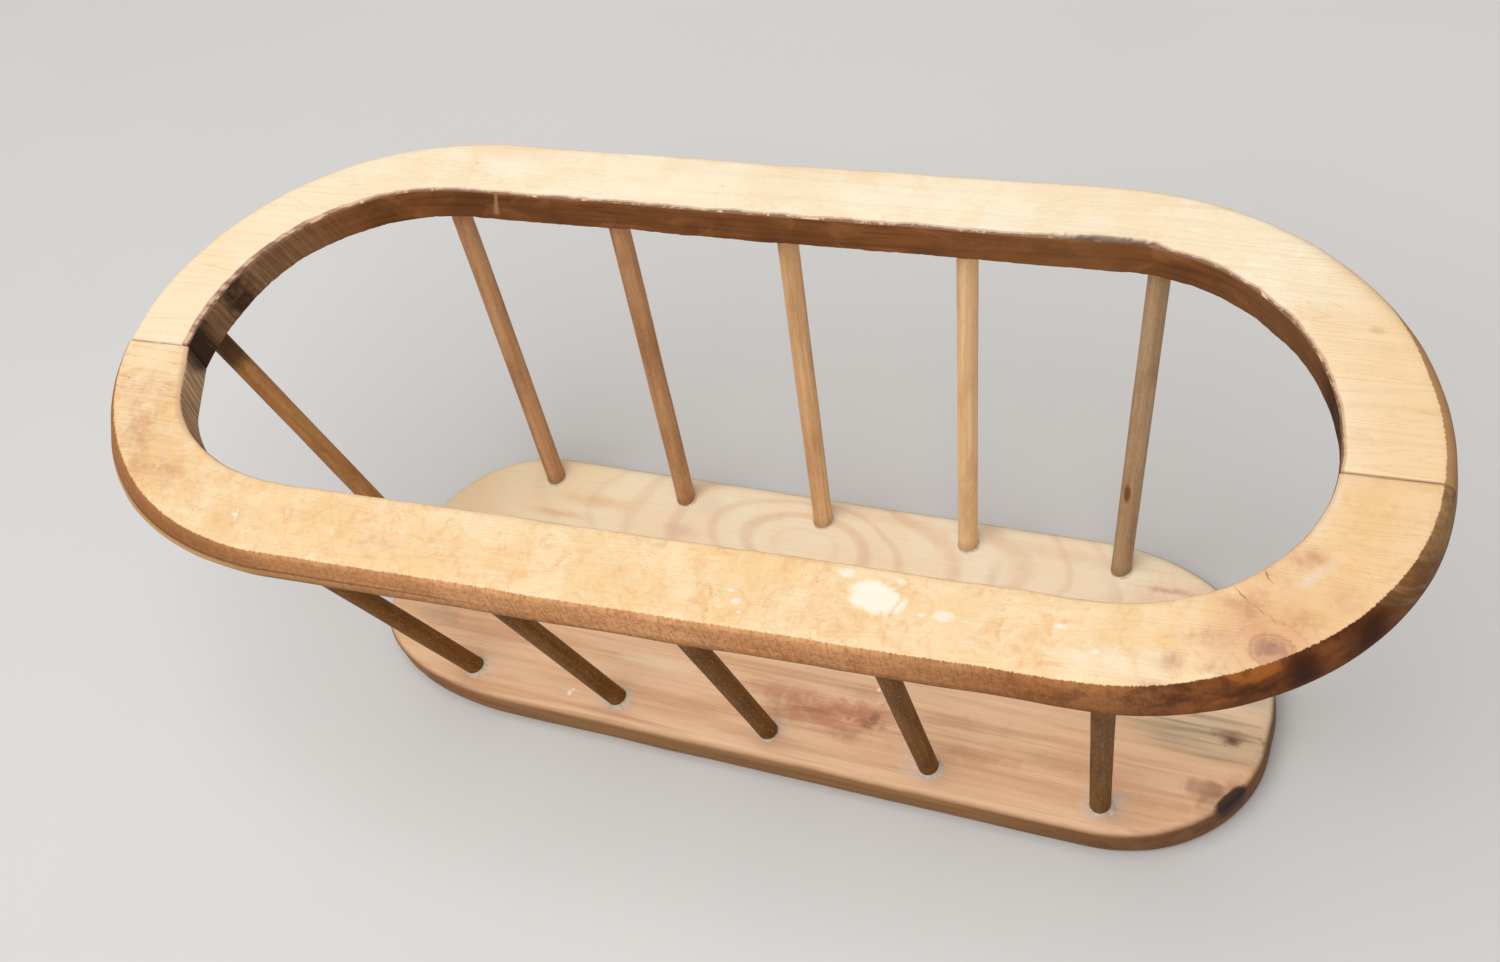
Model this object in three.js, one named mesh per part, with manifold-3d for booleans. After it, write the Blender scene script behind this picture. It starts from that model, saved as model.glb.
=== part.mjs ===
// Oval yarn basket: a board base, a rim sawn in two U-shaped halves, and splayed dowels between.
// Millimetres, +Z up. The base rests on z = 0, its long axis along X, the origin near its middle.
// Front is -Y. The rim is level, but was glued on with a small twist about Z.

import * as THREE from 'three';
import { mergeVertices } from 'three/addons/utils/BufferGeometryUtils.js';
import Module from 'manifold-3d';

// ---- base board: sawn freehand, so its four corners differ and its back edge runs a little askew ----
const BASE = { thick: 16, back: 60.4, backSlope: 0.02 };
// side of the origin, reach from it, and the half-lengths of the quarter ellipse, each along X and Y
const BASE_CORNERS = [
  { side: [1, 1], reach: [184, 60.4], ellipse: [79, 62] }, // back right
  { side: [-1, 1], reach: [187, 60.4], ellipse: [53.4, 52] }, // back left
  { side: [-1, -1], reach: [187, 60.7], ellipse: [68.4, 34.5] }, // front left
  { side: [1, -1], reach: [184, 60.7], ellipse: [57, 49] }, // front right
];
const BASE_EDGE = { top: 4, bottom: 3 }; // round-over radii

// ---- rim: two halves that meet on one straight seam, close to the rim's own X axis ----
const RIM = {
  length: 470, thick: 16, topZ: 181,
  twist: 2.5, // degrees about Z, against the base
  originX: 1.6, originY: -4.2, // the middle of the rim's own axes
  seamLeft: -3.1, seamRight: 0.4, // where the seam meets the two ends, against the X axis
  seamGap: 0.3,
  leftWidth: 26.5, rightWidth: 33, // width of the wood at the two seams
  lean: 1.3, // how far the outer wall leans out from its top edge to its underside
};
const HALF = {
  // depth from the X axis, width of the long rail, ellipse half-length of the outer and inner corner,
  // and how much more the outer wall leans out round the left corner
  front: { side: -1, depth: 83, rail: 29, outerCorner: 94, innerCorner: 63, leftLean: 7 },
  back: { side: 1, depth: 104.5, rail: 25, outerCorner: 119, innerCorner: 81, leftLean: 0 },
};
const RIM_EDGE = { outerTop: 3, innerTop: 2, innerBottom: 3, outerBottom: 2.5 }; // round-over radii

// ---- dowels ----
const DOWEL = { dia: 8, socket: 9, clearance: 0.3 }; // socket: how deep each end sits in its blind hole
// each row: feet on the base top and entries on the rim underside, as middle, pitch and line;
// footStep is how much further back each foot stands than the one to its left
const ROW = {
  front: {
    count: 5, footX: -1.9, footPitch: 66.3, footY: -48.7, footStep: 0,
    rimX: -4.0, rimPitch: 74.2, rimY: -68.5,
  },
  back: {
    count: 5, footX: -10.5, footPitch: 62.7, footY: 48.2, footStep: 1,
    rimX: -4.6, rimPitch: 68.6, rimY: 92.0,
  },
};
const END = {
  left: { foot: [-166.5, -11], rim: [-218.5, 16.5] },
  right: { foot: [166.5, 5], rim: [218.5, 8] },
};

const RIM_UNDER = RIM.topZ - RIM.thick;
const WOOD = { base: 0xd9b48a, front: 0xe9cda2, back: 0xefd9b4, dowel: 0xa9784c };

const wasm = await Module();
wasm.setup();

// ---- mesh helpers ----

// Closed body through a row of equal, convex sections; both end sections are capped flat.
function loft(sections) {
  const n = sections[0].length;
  const pos = [];
  const idx = [];
  for (const s of sections) for (const p of s) pos.push(p.x, p.y, p.z);
  for (let i = 0; i < sections.length - 1; i++) {
    for (let j = 0; j < n; j++) {
      const a = i * n + j, b = i * n + ((j + 1) % n), c = a + n, d = b + n;
      idx.push(a, b, c, b, d, c);
    }
  }
  const cap = (k, flip) => {
    const mid = sections[k].reduce((m, p) => m.add(p), new THREE.Vector3()).divideScalar(n);
    const m = pos.length / 3;
    pos.push(mid.x, mid.y, mid.z);
    for (let j = 0; j < n; j++) {
      const a = k * n + j, b = k * n + ((j + 1) % n);
      idx.push(...(flip ? [m, b, a] : [m, a, b]));
    }
  };
  cap(0, true);
  cap(sections.length - 1, false);
  const g = new THREE.BufferGeometry();
  g.setAttribute('position', new THREE.Float32BufferAttribute(pos, 3));
  g.setIndex(idx);
  return facesOut(g);
}

// Turns the triangles round if the body is inside out.
function facesOut(g) {
  const p = g.attributes.position, ix = g.index.array;
  const [a, b, c] = [0, 1, 2].map(() => new THREE.Vector3());
  let vol = 0;
  for (let i = 0; i < ix.length; i += 3) {
    a.fromBufferAttribute(p, ix[i]); b.fromBufferAttribute(p, ix[i + 1]); c.fromBufferAttribute(p, ix[i + 2]);
    vol += a.dot(b.cross(c));
  }
  if (vol < 0) for (let i = 0; i < ix.length; i += 3) [ix[i], ix[i + 1]] = [ix[i + 1], ix[i]];
  return g;
}

function toSolid(geometry) {
  const bare = new THREE.BufferGeometry();
  bare.setAttribute('position', geometry.attributes.position.clone());
  bare.setIndex([...geometry.index.array]);
  const g = mergeVertices(bare, 1e-4);
  return new wasm.Manifold(new wasm.Mesh({
    numProp: 3,
    vertProperties: new Float32Array(g.attributes.position.array),
    triVerts: new Uint32Array(g.index.array),
  }));
}

function toGeometry(solid) {
  const m = solid.getMesh();
  const g = new THREE.BufferGeometry();
  g.setAttribute('position', new THREE.Float32BufferAttribute(m.vertProperties, 3));
  g.setIndex([...m.triVerts]);
  return g;
}

// Round bar between two points.
function bar(from, to, radius, sides = 32) {
  const axis = to.clone().sub(from);
  const g = new THREE.CylinderGeometry(radius, radius, axis.length(), sides);
  g.applyQuaternion(new THREE.Quaternion().setFromUnitVectors(new THREE.Vector3(0, 1, 0), axis.clone().normalize()));
  const mid = from.clone().add(to).multiplyScalar(0.5);
  return g.translate(mid.x, mid.y, mid.z);
}

const drill = (body, holes) => toGeometry(holes.reduce((s, h) => s.subtract(toSolid(h)), toSolid(body)));

// ---- base board ----

// The board's outline, drawn in by `inset`.
function baseOutline(inset, steps = 14) {
  const pts = [];
  BASE_CORNERS.forEach(({ side, reach, ellipse }, q) => {
    for (let i = 0; i <= steps; i++) {
      const f = (q % 2 ? steps - i : i) / steps * Math.PI / 2;
      const x = side[0] * (reach[0] - ellipse[0] + (ellipse[0] - inset) * Math.cos(f));
      const y = side[1] * (reach[1] - ellipse[1] + (ellipse[1] - inset) * Math.sin(f));
      const askew = BASE.backSlope * x * THREE.MathUtils.clamp(y / BASE.back, 0, 1);
      pts.push(new THREE.Vector2(x, y + askew));
    }
  });
  return pts;
}

// Inset and height of each step up a board edge with its two round-overs.
function edgeSteps(thick, bottom, top, steps = 5) {
  const out = [];
  for (let i = 0; i <= steps; i++) {
    const f = i / steps * Math.PI / 2;
    out.push([bottom * (1 - Math.sin(f)), bottom * (1 - Math.cos(f))]);
  }
  for (let i = 0; i <= steps; i++) {
    const f = i / steps * Math.PI / 2;
    out.push([top * (1 - Math.cos(f)), thick - top * (1 - Math.sin(f))]);
  }
  return out;
}

function baseBoard() {
  return loft(edgeSteps(BASE.thick, BASE_EDGE.bottom, BASE_EDGE.top).map(([inset, z]) =>
    baseOutline(inset).map((p) => new THREE.Vector3(p.x, p.y, z))));
}

// ---- rim ----

// From the rim's own plan to the shared frame.
function rimPoint(x, y, z) {
  return new THREE.Vector3(x, y, z)
    .applyAxisAngle(new THREE.Vector3(0, 0, 1), THREE.MathUtils.degToRad(RIM.twist))
    .add(new THREE.Vector3(RIM.originX, RIM.originY, 0));
}

// The seam's distance from the rim's X axis at a given x.
const seamAt = (x) => (RIM.seamLeft + RIM.seamRight) / 2 + (RIM.seamRight - RIM.seamLeft) * x / RIM.length;

// How far the outer wall leans out at one station of a half. The extra lean round the left corner
// is greatest a third of the way round, and is gone at the seam and where the rail runs straight.
function leanAt(half, part, f) {
  if (part !== 'left') return RIM.lean;
  const turned = THREE.MathUtils.radToDeg(f);
  const away = (turned - 28) / 34.5;
  const fade = THREE.MathUtils.smoothstep(turned, 0, 25) * (1 - THREE.MathUtils.smoothstep(turned, 70, 90));
  return RIM.lean + half.leftLean * Math.exp(-away * away) * fade;
}

// Inner and outer plan points of a half and its lean, from the left seam round to the right seam.
function railStations(half, cornerSteps = 22, straightSteps = 8) {
  const A = RIM.length / 2;
  const outer = { left: A, right: A, depth: half.depth, corner: half.outerCorner };
  const inner = {
    left: A - RIM.leftWidth, right: A - RIM.rightWidth,
    depth: half.depth - half.rail, corner: half.innerCorner,
  };
  const at = (e, part, f) => {
    const startX = e.left - e.corner, endX = e.right - e.corner;
    let x, y;
    if (part === 'left') { x = -startX - e.corner * Math.cos(f); y = e.depth * Math.sin(f); }
    if (part === 'straight') { x = -startX + (endX + startX) * f; y = e.depth; }
    if (part === 'right') { x = endX + e.corner * Math.sin(f); y = e.depth * Math.cos(f); }
    const atSeam = (part === 'left' && f === 0) || (part === 'right' && f === Math.PI / 2);
    return new THREE.Vector2(x, atSeam ? seamAt(x) + half.side * RIM.seamGap / 2 : half.side * y);
  };
  const out = [];
  const add = (part, f) => out.push([at(inner, part, f), at(outer, part, f), leanAt(half, part, f)]);
  for (let i = 0; i < cornerSteps; i++) add('left', i / cornerSteps * Math.PI / 2);
  for (let i = 0; i < straightSteps; i++) add('straight', i / straightSteps);
  for (let i = 0; i <= cornerSteps; i++) add('right', i / cornerSteps * Math.PI / 2);
  return out;
}

// Section across the rail: distance from its inner face, and height, with four round-overs.
function railProfile(width, lean, steps = 4) {
  const { outerTop, innerTop, innerBottom, outerBottom } = RIM_EDGE;
  const corners = [
    [width - outerTop, RIM.topZ - outerTop, outerTop, 0],
    [innerTop, RIM.topZ - innerTop, innerTop, 90],
    [innerBottom, RIM_UNDER + innerBottom, innerBottom, 180],
    [width - outerBottom, RIM_UNDER + outerBottom, outerBottom, 270],
  ];
  return corners.flatMap(([cx, cz, r, start]) => Array.from({ length: steps + 1 }, (_, i) => {
    const f = THREE.MathUtils.degToRad(start + 90 * i / steps);
    const [s, z] = [cx + r * Math.cos(f), cz + r * Math.sin(f)];
    return [s > width / 2 ? s + lean * (RIM.topZ - z) / RIM.thick : s, z];
  }));
}

function rimHalf(half) {
  return loft(railStations(half).map(([inner, outer, lean]) => {
    const across = outer.clone().sub(inner);
    const width = across.length();
    across.normalize();
    return railProfile(width, lean).map(([s, z]) => rimPoint(inner.x + across.x * s, inner.y + across.y * s, z));
  }));
}

// ---- dowels: axis points on the base top (foot) and the rim underside (head) ----

function rowAxes(row) {
  return Array.from({ length: row.count }, (_, i) => {
    const k = i - (row.count - 1) / 2;
    return {
      foot: new THREE.Vector3(row.footX + k * row.footPitch, row.footY + k * row.footStep, BASE.thick),
      head: rimPoint(row.rimX + k * row.rimPitch, row.rimY, RIM_UNDER),
    };
  });
}

const endAxis = (e) => ({
  foot: new THREE.Vector3(...e.foot, BASE.thick),
  head: rimPoint(...e.rim, RIM_UNDER),
});

// Bar along an axis that runs on past the foot and the head by the given lengths.
function barOn({ foot, head }, pastFoot, pastHead, radius) {
  const dir = head.clone().sub(foot).normalize();
  return bar(foot.clone().addScaledVector(dir, -pastFoot), head.clone().addScaledVector(dir, pastHead), radius);
}

const holeRadius = DOWEL.dia / 2 + DOWEL.clearance;
const holeDepth = DOWEL.socket + DOWEL.clearance;
const OPEN = 12; // how far each drilled hole is carried out past the surface
const span = ({ foot, head }) => head.distanceTo(foot);
const baseHole = (axis) => barOn(axis, holeDepth, OPEN - span(axis), holeRadius);
const rimHole = (axis) => barOn(axis, OPEN - span(axis), holeDepth, holeRadius);

const axes = {};
rowAxes(ROW.front).forEach((a, i) => { axes[`dowel_front_${i + 1}`] = a; });
rowAxes(ROW.back).forEach((a, i) => { axes[`dowel_back_${i + 1}`] = a; });
axes.dowel_left_end = endAxis(END.left);
axes.dowel_right_end = endAxis(END.right);

// The end dowels stand in the back half, just behind the seams.
const inFront = Object.entries(axes).filter(([n]) => n.startsWith('dowel_front')).map(([, a]) => a);
const inBack = Object.entries(axes).filter(([n]) => !n.startsWith('dowel_front')).map(([, a]) => a);

// ---- assembly ----

const group = new THREE.Group();
group.name = 'oval_yarn_basket';

function addPart(name, geometry, color, roughness) {
  geometry.computeVertexNormals();
  const mesh = new THREE.Mesh(geometry, new THREE.MeshStandardMaterial({ color, roughness, metalness: 0 }));
  mesh.name = name;
  group.add(mesh);
}

addPart('base_board', drill(baseBoard(), Object.values(axes).map(baseHole)), WOOD.base, 0.6);
addPart('rim_front_half', drill(rimHalf(HALF.front), inFront.map(rimHole)), WOOD.front, 0.55);
addPart('rim_back_half', drill(rimHalf(HALF.back), inBack.map(rimHole)), WOOD.back, 0.55);
for (const [name, axis] of Object.entries(axes)) {
  addPart(name, barOn(axis, DOWEL.socket, DOWEL.socket, DOWEL.dia / 2), WOOD.dowel, 0.65);
}

export default group;
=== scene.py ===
import math

import bpy
import numpy as np
from mathutils import Matrix, Vector, noise


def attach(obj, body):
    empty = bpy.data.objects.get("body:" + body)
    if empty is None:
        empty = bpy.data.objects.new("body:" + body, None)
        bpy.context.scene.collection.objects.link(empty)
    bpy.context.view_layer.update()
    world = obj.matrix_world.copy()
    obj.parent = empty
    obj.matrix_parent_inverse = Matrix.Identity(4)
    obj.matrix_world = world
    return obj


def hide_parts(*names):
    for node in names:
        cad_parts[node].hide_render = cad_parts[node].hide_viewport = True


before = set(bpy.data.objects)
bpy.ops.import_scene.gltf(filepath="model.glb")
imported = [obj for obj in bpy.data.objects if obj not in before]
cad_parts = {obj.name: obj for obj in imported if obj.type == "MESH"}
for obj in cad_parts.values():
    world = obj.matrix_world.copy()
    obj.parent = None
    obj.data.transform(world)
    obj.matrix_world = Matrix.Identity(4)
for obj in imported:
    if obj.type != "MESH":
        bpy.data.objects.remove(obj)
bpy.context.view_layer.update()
scene = bpy.context.scene
MM = 0.001

# -------------------------------------------------- the design's own sizes, mm
BASE = dict(thick=16, back=60.4, slope=0.02, top=4.5, bottom=3)
# side of the origin, reach from it, half-lengths of the corner's quarter ellipse
BASE_CORNERS = (
    ((1, 1), (184, 60.4), (79, 62)),
    ((-1, 1), (187, 60.4), (53.4, 52)),
    ((-1, -1), (187, 60.7), (68.4, 34.5)),
    ((1, -1), (184, 60.7), (57, 49)),
)
RIM = dict(length=470, thick=16, top_z=181, twist=2.5, origin=(1.6, -4.2), left=26.5, right=33,
           seam=(-3.1, 0.4), lean=1.3)
HALVES = {
    "rim_front_half": dict(side=-1, depth=83, rail=29, outer=94, inner=63, left_lean=7.0),
    "rim_back_half": dict(side=1, depth=104.5, rail=25, outer=119, inner=81, left_lean=0.0),
}
DOWEL_R = 4.0
SOCKET = 9.0
# how far each half of the rim stands back from the seam, at its left and right ends
SEAM_GAP = dict(left=0.40, right=0.07)
# the direction, in radians, in which more glue ran out at the feet
GLUE_SIDE = -0.6
# spread and height of the glue at a foot
MUCH_GLUE = (2.2, 1.1)
LITTLE_GLUE = (0.9, 0.6)
GLUED_THICKLY = ("dowel_front_1", "dowel_front_2", "dowel_front_4", "dowel_front_5")


# -------------------------------------------------- mesh helpers
def wander(x, y, z, seed=0.0):
    """Smooth noise, about -1 to 1."""
    return noise.noise(Vector((x, y, z + seed * 7.31)))


def mesh_object(name, verts, faces, **fields):
    mesh = bpy.data.meshes.new(name)
    mesh.from_pydata([tuple(v) for v in verts], [], faces)
    mesh.validate()
    for key, values in fields.items():
        layer = mesh.attributes.new(key, "FLOAT_VECTOR", "POINT")
        layer.data.foreach_set("vector", np.asarray(values, np.float32).ravel())
    for p in mesh.polygons:
        p.use_smooth = True
    mesh.update()
    obj = bpy.data.objects.new(name, mesh)
    scene.collection.objects.link(obj)
    return obj


def loft(sections):
    """Vertices and outward faces of a body through a row of equal closed sections."""
    sections = np.asarray(sections, float)
    rows, n = sections.shape[:2]
    verts = sections.reshape(-1, 3)
    faces = []
    for i in range(rows - 1):
        for j in range(n):
            a, b = i * n + j, i * n + (j + 1) % n
            faces.append((a, b, b + n, a + n))
    faces.append(tuple(range(n - 1, -1, -1)))
    faces.append(tuple(range((rows - 1) * n, rows * n)))
    volume = 0.0
    for f in faces:
        p0 = verts[f[0]]
        for k in range(1, len(f) - 1):
            volume += np.dot(p0, np.cross(verts[f[k]], verts[f[k + 1]]))
    if volume < 0:
        faces = [f[::-1] for f in faces]
    return verts, faces


def rounded_section(width, low, high, radii, flat=7, arc=6):
    """Closed outline in (across, z) with radii at outer top, inner top, inner bottom, outer bottom."""
    ot, it, ib, ob = radii
    corners = [
        (width - ot, high - ot, ot, 0), (it, high - it, it, 90),
        (ib, low + ib, ib, 180), (width - ob, low + ob, ob, 270),
    ]
    points = []
    for k, (cx, cz, r, start) in enumerate(corners):
        ring = [(cx + r * math.cos(math.radians(start + 90 * i / arc)),
                 cz + r * math.sin(math.radians(start + 90 * i / arc))) for i in range(arc + 1)]
        points += ring
        nx, nz, nr, ns = corners[(k + 1) % 4]
        after = (nx + nr * math.cos(math.radians(ns)), nz + nr * math.sin(math.radians(ns)))
        last = ring[-1]
        points += [(last[0] + (after[0] - last[0]) * i / flat,
                    last[1] + (after[1] - last[1]) * i / flat) for i in range(1, flat)]
    return points


# -------------------------------------------------- rim halves
TWIST = math.radians(RIM["twist"])


def rim_to_frame(x, y):
    ox, oy = RIM["origin"]
    return (x * math.cos(TWIST) - y * math.sin(TWIST) + ox, x * math.sin(TWIST) + y * math.cos(TWIST) + oy)


def seam_at(x):
    a, b = RIM["seam"]
    return (a + b) / 2 + (b - a) * x / RIM["length"]


def ease(x, low, high):
    t = min(1.0, max(0.0, (x - low) / (high - low)))
    return t * t * (3 - 2 * t)


def lean_at(half, part, f):
    """How far the outer wall leans out towards its underside: most of all round the left corner."""
    if part != 0:
        return RIM["lean"]
    turned = math.degrees(f)
    fade = ease(turned, 0, 25) * (1 - ease(turned, 70, 90))
    return RIM["lean"] + half["left_lean"] * math.exp(-(((turned - 28) / 34.5) ** 2)) * fade


def rail_stations(half, corner_steps=110, straight_steps=190):
    a = RIM["length"] / 2
    outer = (a, a, half["depth"], half["outer"])
    inner = (a - RIM["left"], a - RIM["right"], half["depth"] - half["rail"], half["inner"])

    def at(edge, part, f):
        left, right, depth, corner = edge
        x0, x1 = -(left - corner), right - corner
        if part == 0:
            return x0 - corner * math.cos(f), depth * math.sin(f)
        if part == 1:
            return x0 + (x1 - x0) * f, depth
        return x1 + corner * math.sin(f), depth * math.cos(f)

    steps = [(0, math.pi / 2 * i / corner_steps) for i in range(corner_steps)]
    steps += [(1, i / straight_steps) for i in range(straight_steps)]
    steps += [(2, math.pi / 2 * i / corner_steps) for i in range(corner_steps + 1)]
    return [(at(inner, *s), at(outer, *s), lean_at(half, *s)) for s in steps]


def build_half(name, half):
    side = half["side"]
    low, high = RIM["top_z"] - RIM["thick"], RIM["top_z"]
    stations = rail_stations(half)
    sections, rail, edge, along, before = [], [], [], 0.0, None
    last = len(stations) - 1
    for i, ((ix, iy), (ox, oy), lean) in enumerate(stations):
        gap = SEAM_GAP["left" if ix < 0 else "right"]
        ends_here = i in (0, last)
        iy = side * seam_at(ix) + gap if ends_here else max(iy, side * seam_at(ix) + gap + 0.05)
        oy = side * seam_at(ox) + gap if ends_here else max(oy, side * seam_at(ox) + gap + 0.05)
        if side < 0 and ix < 0:
            # below the left seam the inner edge runs on straight before it turns
            ix += 2.3 * math.exp(-(((iy - 14) / 12) ** 2))
        inner, outer = np.array([ix, side * iy]), np.array([ox, side * oy])
        if side < 0 and ix < 0:
            # and the front half sits proud of the back one by 0.6 mm there
            shove = 0.6 * math.exp(-abs(oy) / 30)
            inner[0] -= shove
            outer[0] -= shove
        mid = (inner + outer) / 2
        if before is not None:
            along += float(np.linalg.norm(mid - before))
        before = mid
        across = outer - inner
        width = float(np.linalg.norm(across))
        across /= width
        # the saw wandered: each edge runs in and out by a few tenths
        end = min(i, last - i) / 12
        hold = min(1.0, end)
        out = 0.35 * wander(mid[0] / 34, mid[1] / 34, 1, side)
        out += 0.14 * wander(mid[0] / 9, mid[1] / 9, 2, side)
        inn = 0.35 * wander(mid[0] / 30, mid[1] / 30, 5, side)
        inn += 0.2 * wander(mid[0] / 8, mid[1] / 8, 6, side)
        torn = 0.0
        if side > 0:
            torn = 0.55 * max(0.0, wander(along / 2.6, 7.7, 8.0) + 0.15)
            torn += 0.5 * max(0.0, wander(along / 7, 3.3, 21.0))
        radii = [
            2.4 + 0.5 * wander(mid[0] / 22, mid[1] / 22, 9, side)
            + (1.9 if side < 0 else 1.5) * min(1.0, max(0.0, (mid[0] - (100 if side < 0 else 170)) / 60)),
            1.2 + 0.5 * wander(mid[0] / 12, mid[1] / 12, 11, side),
            (1.3 if side > 0 else 2.4) + 0.6 * wander(mid[0] / 18, mid[1] / 18, 13, side),
            3.2 + 0.8 * wander(mid[0] / 20, mid[1] / 20, 15, side),
        ]
        # at the back left the inner wall was cut back below
        cut = 0.0
        if side > 0 and mid[0] < 0:
            cut = 3.2 * math.exp(-(((mid[0] + 190) / 34) ** 2 + ((mid[1] - 48) / 34) ** 2))
        ring = []
        for s, z in rounded_section(width, low, high, radii):
            f = s / width
            level = (z - low) / (high - low)
            rail.append((along, s, level))
            edge.append((width - s, f, 0.0))
            s = s + (out * f + inn * (1 - f)) * hold
            if f > 0.5:
                s += lean * (1 - level)
            if cut and f < 0.35:
                s += cut * (1 - level) * (1 - f / 0.35) * 0.8
            if torn and f < 0.12 and level < 0.3:
                z += torn * (1 - f / 0.12) * (1 - level / 0.3) * hold
            # a seam edge is broken by a hair
            draw = 0.22 * max(0.0, 1 - end * 6)
            if level > 0.98:
                z = z - draw + 0.12 * wander(mid[0] / 28, mid[1] / 28, s / 20, side) * hold
            elif level < 0.02:
                z = z + draw
            p = inner + across * s
            x, y = rim_to_frame(p[0], p[1])
            ring.append((x * MM, y * MM, z * MM))
        sections.append(ring)
    verts, faces = loft(sections)
    return mesh_object(name + "_wood", verts, faces, rail=rail, edge=edge)


# -------------------------------------------------- base board
def base_outline(inset, steps=46, straight=60):
    arcs = []
    for q, (sign, reach, half) in enumerate(BASE_CORNERS):
        arc = []
        for i in range(steps + 1):
            f = (steps - i if q % 2 else i) / steps * math.pi / 2
            x = sign[0] * (reach[0] - half[0] + (half[0] - inset) * math.cos(f))
            y = sign[1] * (reach[1] - half[1] + (half[1] - inset) * math.sin(f))
            arc.append((x, y))
        arcs.append(arc)
    points = []
    for q in range(4):
        points += arcs[q]
        a, b = arcs[q][-1], arcs[(q + 1) % 4][0]
        count = straight if q % 2 == 0 else 12
        points += [(a[0] + (b[0] - a[0]) * i / count, a[1] + (b[1] - a[1]) * i / count)
                   for i in range(1, count)]
    # the back edge runs a little askew
    return [(x, y + BASE["slope"] * x * min(1.0, max(0.0, y / BASE["back"]))) for x, y in points]


def build_base():
    thick, top, bottom = BASE["thick"], BASE["top"], BASE["bottom"]
    levels = [(bottom * (1 - math.sin(f)), bottom * (1 - math.cos(f)))
              for f in np.linspace(0, math.pi / 2, 7)]
    levels += [(0.0, bottom + (thick - top - bottom) * i / 4) for i in range(1, 4)]
    levels += [(top * (1 - math.cos(f)), thick - top * (1 - math.sin(f)))
               for f in np.linspace(0, math.pi / 2, 9)]
    sections = []
    for inset, z in levels:
        ring = []
        for x, y in base_outline(inset):
            k = 0.35 * wander(x / 30, y / 30, 4) + 0.15 * wander(x / 9, y / 9, z / 9)
            r = math.hypot(x, y)
            ring.append(((x + k * x / r) * MM, (y + k * y / r) * MM, z * MM))
        sections.append(ring)
    # the flat top and underside close in towards the middle
    flat = base_outline(9)
    sizes = (1.0, 0.75, 0.5, 0.2)
    cover = [[(x * k * MM, y * k * MM, thick * MM) for x, y in flat] for k in sizes]
    under = [[(x * k * MM, y * k * MM, 0.0) for x, y in flat] for k in reversed(sizes)]
    verts, faces = loft(under + sections + cover)
    return mesh_object("base_board_wood", verts, faces)


# -------------------------------------------------- dowels
def dowel_axis(name):
    """Centres of a dowel's foot and head in metres, and its unit axis, from its CAD solid."""
    co = np.array([v.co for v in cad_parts[name].data.vertices], float)
    mid = co.mean(0)
    axis = np.linalg.svd(co - mid, full_matrices=False)[2][0]
    axis *= np.sign(axis[2])
    t = (co - mid) @ axis
    return mid + axis * t.min(), mid + axis * t.max(), axis


def build_dowel(name, seed, sides=40, rows=72):
    foot, head, axis = dowel_axis(name)
    length = float(np.linalg.norm(head - foot)) / MM
    quat = Vector((0, 0, 1)).rotation_difference(Vector(axis))
    sections = []
    for i in range(rows + 1):
        z = length * i / rows
        bow = 0.45 * math.sin(math.pi * i / rows)
        cx, cy = bow * wander(seed, 1, 0), bow * wander(seed, 2, 0)
        ring = []
        for j in range(sides):
            a = 2 * math.pi * j / sides
            r = DOWEL_R - 0.05 + 0.09 * wander(math.cos(a) * 0.9, math.sin(a) * 0.9, z / 30, seed)
            r += 0.03 * wander(math.cos(a) * 3, math.sin(a) * 3, z / 12, seed + 3)
            ring.append(((cx + r * math.cos(a)) * MM, (cy + r * math.sin(a)) * MM, z * MM))
        sections.append(ring)
    verts, faces = loft(sections)
    obj = mesh_object(name + "_wood", verts, faces)
    obj.matrix_world = Matrix.Translation(Vector(foot)) @ quat.to_matrix().to_4x4()
    return obj, foot, head, axis


def build_collar(name, foot, axis, seed, reach, height):
    """Glue squeezed out round the foot of a dowel: a low, uneven fillet on the base top."""
    top = BASE["thick"]
    centre = np.array(foot) / MM
    centre = centre + np.array(axis) * ((top - centre[2]) / axis[2])
    lean = np.array([axis[0], axis[1]]) / axis[2]
    sides, rows = 48, 9
    sections = []
    for j in range(sides):
        a = 2 * math.pi * j / sides
        d = np.array([math.cos(a), math.sin(a)])
        bias = 0.62 + 0.38 * math.cos(a - GLUE_SIDE)
        spread = reach * bias * (1 + 0.45 * wander(d[0] * 1.3, d[1] * 1.3, seed)
                                 + 0.3 * wander(d[0] * 4, d[1] * 4, seed + 2)) + 0.25
        tall = height * bias * (1 + 0.4 * wander(d[0] * 1.6, d[1] * 1.6, seed + 5)) + 0.15
        ring = []
        for k in range(rows + 1):
            f = k / rows
            r = DOWEL_R - 0.3 + (spread + 0.3) * f
            z = tall * (1 - f) ** 2.0
            p = centre[:2] + lean * z + d * r
            ring.append((p[0] * MM, p[1] * MM, (top + z - 0.03) * MM))
        for f in (1.0, 0.0):
            p = centre[:2] + d * (DOWEL_R - 0.3 + (spread + 0.3) * f * 0.98)
            ring.append((p[0] * MM, p[1] * MM, (top - 0.4) * MM))
        sections.append(ring)
    n = len(sections[0])
    verts = np.asarray(sections).reshape(-1, 3)
    faces = []
    for j in range(sides):
        for k in range(n):
            a, b = j * n + k, j * n + (k + 1) % n
            c, e = ((j + 1) % sides) * n + (k + 1) % n, ((j + 1) % sides) * n + k
            faces.append((a, e, c, b))
    return mesh_object(name, verts, faces)


# -------------------------------------------------- node helpers
def lin(*levels):
    """Linear colour, with alpha, from an sRGB triple of 0 to 255."""
    parts = [c / 255 for c in levels]
    return (*[c / 12.92 if c <= 0.04045 else ((c + 0.055) / 1.055) ** 2.4 for c in parts], 1.0)


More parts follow.
